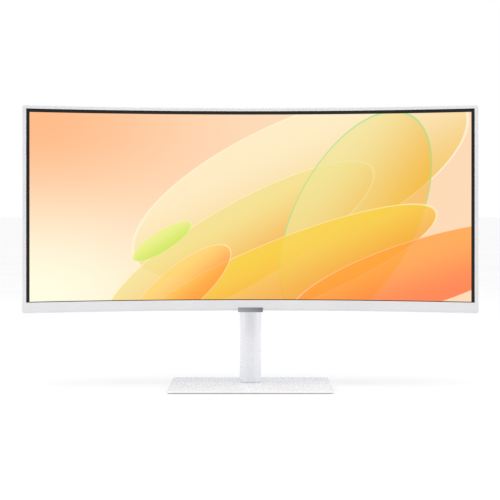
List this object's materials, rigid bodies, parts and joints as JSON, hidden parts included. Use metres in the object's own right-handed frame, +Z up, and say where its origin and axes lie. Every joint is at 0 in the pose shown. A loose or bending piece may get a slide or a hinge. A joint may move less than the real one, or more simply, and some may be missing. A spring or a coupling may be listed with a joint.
{
  "type": "computer monitor",
  "caption": "Curved wide computer monitor with a thin white rim, on a round column that swivels, rises and tilts over a flat rectangular base.",
  "frame": {"origin": "centre of the base plate's outline, on the desk", "axes": "+Z up, the screen faces -Y, +X along the screen's width to the right as the user sees it"},
  "size_m": [0.8, 0.24, 0.5068],
  "materials": {
    "white_moulded_plastic": "fine satin texture",
    "white_painted_steel": "satin powder coat",
    "white_painted_casting": "satin paint",
    "grey_trim_metal": "brushed and anodised",
    "grey_plastic": "satin",
    "rubber": "matte",
    "steel": "zinc plated",
    "bright_steel": "bright",
    "bearing_plastic": "smooth",
    "washer_set": "plain",
    "brass": "plain",
    "screen_glass": "anti-glare, with a lit picture",
    "clear_acrylic": "clear",
    "film": "satin film",
    "led_board": "plain",
    "black_plastic": "satin",
    "tray_metal": "galvanised",
    "circuit_board": "lacquered",
    "socket_metal": "tin plated"
  },
  "bodies": {
    "base": {"base_plate": "white_painted_steel", "rubber_feet": "rubber", "swivel_hub": "steel", "hub_screws": "bright_steel", "swivel_washers": "washer_set", "swivel_nut": "steel"},
    "column": {"outer_column": "white_painted_steel", "column_socket": "steel", "swivel_bush": "bearing_plastic", "socket_screws": "bright_steel", "column_collar": "white_moulded_plastic", "spring_post": "steel", "spring_anchor": "bright_steel", "lift_spring_strip": "bright_steel", "cable_clip": "white_moulded_plastic"},
    "mast": {"mast_tube": "white_painted_steel", "mast_glide": "bearing_plastic", "spring_cradle": "steel", "drum_axle": "bright_steel", "mast_head": "white_painted_casting", "mast_head_cap": "white_moulded_plastic"},
    "drum": {"spring_drum": "bearing_plastic", "lift_spring_coil": "bright_steel"},
    "display": {"tilt_shaft": "bright_steel", "tilt_friction_washers": "brass", "tilt_disc_springs": "steel", "tilt_nut": "steel", "hinge_bracket": "steel", "mount_plate": "steel", "mount_screws": "bright_steel", "mount_cover": "white_moulded_plastic", "release_spring": "bright_steel", "front_bezel": "white_moulded_plastic", "badge": "grey_trim_metal", "badge_pod": "grey_plastic", "lcd_cell": "screen_glass", "optical_sheets": "film", "light_guide": "clear_acrylic", "reflector_sheet": "film", "led_bar": "led_board", "panel_frame": "black_plastic", "panel_chassis": "tray_metal", "panel_drivers": "circuit_board", "chassis_bracket": "steel", "main_board": "circuit_board", "power_board": "circuit_board", "power_parts": "black_plastic", "video_sockets": "socket_metal", "data_sockets": "socket_metal", "network_socket": "socket_metal", "audio_socket": "black_plastic", "power_inlet": "black_plastic", "speakers": "black_plastic", "jog_switch": "circuit_board", "rear_cover": "white_moulded_plastic"},
    "release_catch": {"release_button": "grey_plastic", "release_latch": "steel"},
    "jog_carrier": {"jog_carrier": "black_plastic"},
    "jog_rocker": {"jog_rocker": "bearing_plastic"},
    "jog_cap": {"jog_cap": "grey_plastic"}
  },
  "joints": [
    {"name": "swivel", "type": "hinge", "parent": "base", "child": "column", "pos_m": [0, 0.04328, 0], "axis": [0, 0, 1], "range_deg": [-30, 30]},
    {"name": "lift", "type": "slide", "parent": "column", "child": "mast", "axis": [0, 0, 1], "range_m": [-0.095, 0.025], "deforming": ["lift_spring_strip"]},
    {"name": "drum_spin", "type": "hinge", "parent": "mast", "child": "drum", "pos_m": [0, 0.04328, 0.145], "axis": [1, 0, 0], "range_deg": [-140, 520]},
    {"name": "tilt", "type": "hinge", "parent": "mast", "child": "display", "pos_m": [0, 0.02428, 0.3239], "axis": [-1, 0, 0], "range_deg": [-2, 25]},
    {"name": "release", "type": "slide", "parent": "display", "child": "release_catch", "axis": [0, 0, 1], "range_m": [0, 0.003], "stiffness_N_per_m": 600, "springref_m": -0.001, "deforming": ["release_spring"]},
    {"name": "jog_press", "type": "slide", "parent": "display", "child": "jog_carrier", "axis": [0, 0, 1], "range_m": [0, 0.0004], "stiffness_N_per_m": 2500, "springref_m": -0.0002},
    {"name": "jog_nod", "type": "hinge", "parent": "jog_carrier", "child": "jog_rocker", "pos_m": [0, -0.02712, 0.1486], "axis": [1, 0, 0], "range_deg": [-5, 5], "stiffness_Nm_per_rad": 0.2},
    {"name": "jog_sway", "type": "hinge", "parent": "jog_rocker", "child": "jog_cap", "pos_m": [0, -0.02712, 0.1486], "axis": [0, 1, 0], "range_deg": [-5, 5], "stiffness_Nm_per_rad": 0.2}
  ],
  "couplings": [
    {"joint": "drum_spin", "follows": "lift", "rad_per_m": -95.012}
  ]
}
